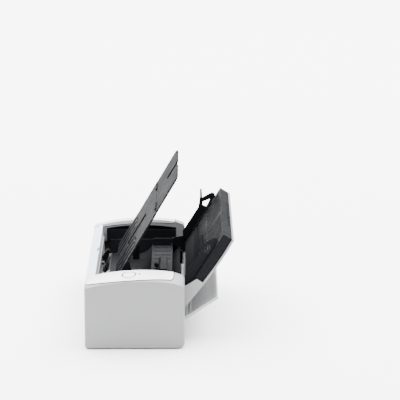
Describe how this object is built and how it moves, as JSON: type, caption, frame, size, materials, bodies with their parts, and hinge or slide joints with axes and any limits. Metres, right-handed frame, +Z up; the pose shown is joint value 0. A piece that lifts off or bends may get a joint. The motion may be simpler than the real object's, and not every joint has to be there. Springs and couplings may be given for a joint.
{
  "type": "sheet fed document scanner",
  "caption": "Desktop document scanner with a flip-open cover that forms the feed tray, sliding side guides, a curved paper path, a folding output guide and a rear flap.",
  "frame": {"origin": "on the table, under the middle of the bounding box of the open scanner", "axes": "+X along the width towards the end with the scan button (the scanner's right, seen from the front), +Y from the front to the rear, +Z up"},
  "size_m": [0.296, 0.171, 0.1855],
  "materials": {
    "white_housing": "fine matt texture",
    "white_top": "satin",
    "cool_white_strip": "satin",
    "dark_plastic": "fine matt texture",
    "deck_grey": "matt",
    "black_plastic": "matt",
    "flap_grey": "fine matt texture",
    "steel": "drawn and pressed",
    "rubber_black": "matt",
    "rubber_grey": "ground",
    "gear_plastic": "moulded",
    "sensor_glass": "polished",
    "circuit_board": "solder resist",
    "blue_light": "clear"
  },
  "bodies": {
    "base": {"base_tray": "white_housing", "end_cap_right": "white_housing", "end_cap_left": "white_housing", "top_panel_right": "white_top", "top_panel_left": "white_top", "side_liner_right": "dark_plastic", "side_liner_left": "dark_plastic", "side_frame_right": "steel", "side_frame_left": "steel", "foot_front_right": "rubber_black", "foot_front_left": "rubber_black", "foot_rear_right": "rubber_black", "foot_rear_left": "rubber_black", "front_cover": "cool_white_strip", "rear_panel": "white_housing", "deck": "deck_grey", "exit_guide": "white_housing", "rear_guide": "dark_plastic", "outer_path_guide": "dark_plastic", "inner_path_guide": "dark_plastic", "ring_light": "blue_light", "lamp_lens": "black_plastic", "button_board": "circuit_board", "main_board": "circuit_board", "data_socket": "steel", "power_inlet": "black_plastic", "lower_image_sensor": "black_plastic", "lower_sensor_glass": "sensor_glass", "upper_image_sensor": "black_plastic", "upper_sensor_glass": "sensor_glass", "drive_motor": "steel", "drive_belt": "rubber_black"},
    "cover": {"cover_shell": "white_housing", "feed_tray": "dark_plastic"},
    "extension": {"chute_extension": "dark_plastic"},
    "right_guide": {"side_guide_right": "dark_plastic"},
    "left_guide": {"side_guide_left": "dark_plastic"},
    "pinion": {"guide_pinion": "gear_plastic"},
    "flap": {"rear_flap": "flap_grey"},
    "output_base": {"output_guide_base": "dark_plastic"},
    "output_middle": {"output_guide_middle": "dark_plastic"},
    "output_tip": {"output_guide_tip": "dark_plastic"},
    "finger": {"exit_finger": "black_plastic"},
    "front_guide": {"front_feed_guide": "white_housing"},
    "button": {"scan_button": "white_top"},
    "feed_roller": {"feed_shaft": "steel", "feed_tyre": "rubber_grey", "feed_pulley": "gear_plastic"},
    "pick_roller": {"pick_shaft": "steel", "pick_tyre": "rubber_grey", "pick_pulley": "gear_plastic"},
    "eject_roller": {"eject_shaft": "steel", "eject_tyre": "rubber_grey", "eject_pulley": "gear_plastic"},
    "motor_rotor": {"motor_pulley": "gear_plastic"},
    "brake": {"brake_roller": "rubber_grey"},
    "feed_pinch": {"feed_pinch_roller": "rubber_grey"},
    "eject_pinch": {"eject_pinch_roller": "rubber_grey"}
  },
  "joints": [
    {"name": "cover_hinge", "type": "hinge", "parent": "base", "child": "cover", "pos_m": [0, 0.01642, 0.05846], "axis": [1, 0, 0], "range_deg": [0, 124.5]},
    {"name": "extension_slide", "type": "slide", "parent": "cover", "child": "extension", "axis": [0, -0.5344, -0.8453], "range_m": [-0.05, 0]},
    {"name": "side_guide_slide", "type": "slide", "parent": "cover", "child": "right_guide", "axis": [1, 0, 0], "range_m": [-0.08, 0]},
    {"name": "left_guide_slide", "type": "slide", "parent": "cover", "child": "left_guide", "axis": [-1, 0, 0], "range_m": [-0.08, 0]},
    {"name": "pinion_spin", "type": "hinge", "parent": "cover", "child": "pinion", "pos_m": [0, 0.05328, 0.08627], "axis": [0, -0.8453, 0.5344], "range_deg": [0, 764]},
    {"name": "flap_hinge", "type": "hinge", "parent": "base", "child": "flap", "pos_m": [0, 0.02562, 0.0262], "axis": [1, 0, 0], "range_deg": [0, 56.3]},
    {"name": "output_guide_hinge", "type": "hinge", "parent": "base", "child": "output_base", "pos_m": [0, -0.03188, 0.06424], "axis": [1, 0, 0], "range_deg": [0, 120.61]},
    {"name": "output_lower_fold", "type": "hinge", "parent": "output_base", "child": "output_middle", "pos_m": [0, -0.02724, 0.10213], "axis": [1, 0, 0], "range_deg": [-180, 0]},
    {"name": "output_upper_fold", "type": "hinge", "parent": "output_middle", "child": "output_tip", "pos_m": [0, -0.00505, 0.14419], "axis": [1, 0, 0], "range_deg": [0, 180]},
    {"name": "exit_finger_pivot", "type": "hinge", "parent": "base", "child": "finger", "pos_m": [0, -0.06948, 0.062], "axis": [1, 0, 0], "range_deg": [-68.01, 0]},
    {"name": "front_guide_hinge", "type": "hinge", "parent": "base", "child": "front_guide", "pos_m": [0, -0.08418, 0.0104], "axis": [1, 0, 0], "range_deg": [0, 75]},
    {"name": "scan_button_press", "type": "slide", "parent": "base", "child": "button", "axis": [0, 0, -1], "range_m": [0, 0.001], "stiffness_N_per_m": 400, "springref_m": -0.0005},
    {"name": "feed_spin", "type": "hinge", "parent": "base", "child": "feed_roller", "pos_m": [0, -0.01248, 0.02], "axis": [1, 0, 0], "continuous": true},
    {"name": "pick_spin", "type": "hinge", "parent": "base", "child": "pick_roller", "pos_m": [0, 0.00402, 0.035], "axis": [1, 0, 0], "continuous": true},
    {"name": "eject_spin", "type": "hinge", "parent": "base", "child": "eject_roller", "pos_m": [0, -0.06348, 0.034], "axis": [1, 0, 0], "continuous": true},
    {"name": "motor_spin", "type": "hinge", "parent": "base", "child": "motor_rotor", "pos_m": [-0.122, -0.03648, 0.017], "axis": [1, 0, 0], "continuous": true},
    {"name": "brake_spin", "type": "hinge", "parent": "base", "child": "brake", "pos_m": [0, 0.01627, 0.0355], "axis": [1, 0, 0], "continuous": true},
    {"name": "feed_pinch_spin", "type": "hinge", "parent": "base", "child": "feed_pinch", "pos_m": [0, -0.01248, 0.0097], "axis": [1, 0, 0], "continuous": true},
    {"name": "eject_pinch_spin", "type": "hinge", "parent": "base", "child": "eject_pinch", "pos_m": [0, -0.07338, 0.034], "axis": [1, 0, 0], "continuous": true}
  ],
  "couplings": [
    {"joint": "flap_hinge", "follows": "cover_hinge", "ratio": 0.4522},
    {"joint": "output_guide_hinge", "follows": "cover_hinge", "ratio": 0.9687},
    {"joint": "output_lower_fold", "follows": "cover_hinge", "ratio": -1.4458},
    {"joint": "output_upper_fold", "follows": "cover_hinge", "ratio": 1.4458},
    {"joint": "exit_finger_pivot", "follows": "cover_hinge", "ratio": -0.5462},
    {"joint": "left_guide_slide", "follows": "side_guide_slide", "ratio": 1},
    {"joint": "pinion_spin", "follows": "side_guide_slide", "rad_per_m": -166.67},
    {"joint": "pick_spin", "follows": "feed_spin", "ratio": 1},
    {"joint": "eject_spin", "follows": "feed_spin", "ratio": 1},
    {"joint": "motor_spin", "follows": "feed_spin", "ratio": 1},
    {"joint": "brake_spin", "follows": "feed_spin", "ratio": -1.0169},
    {"joint": "feed_pinch_spin", "follows": "feed_spin", "ratio": -1.7143},
    {"joint": "eject_pinch_spin", "follows": "feed_spin", "ratio": -1.7143}
  ]
}
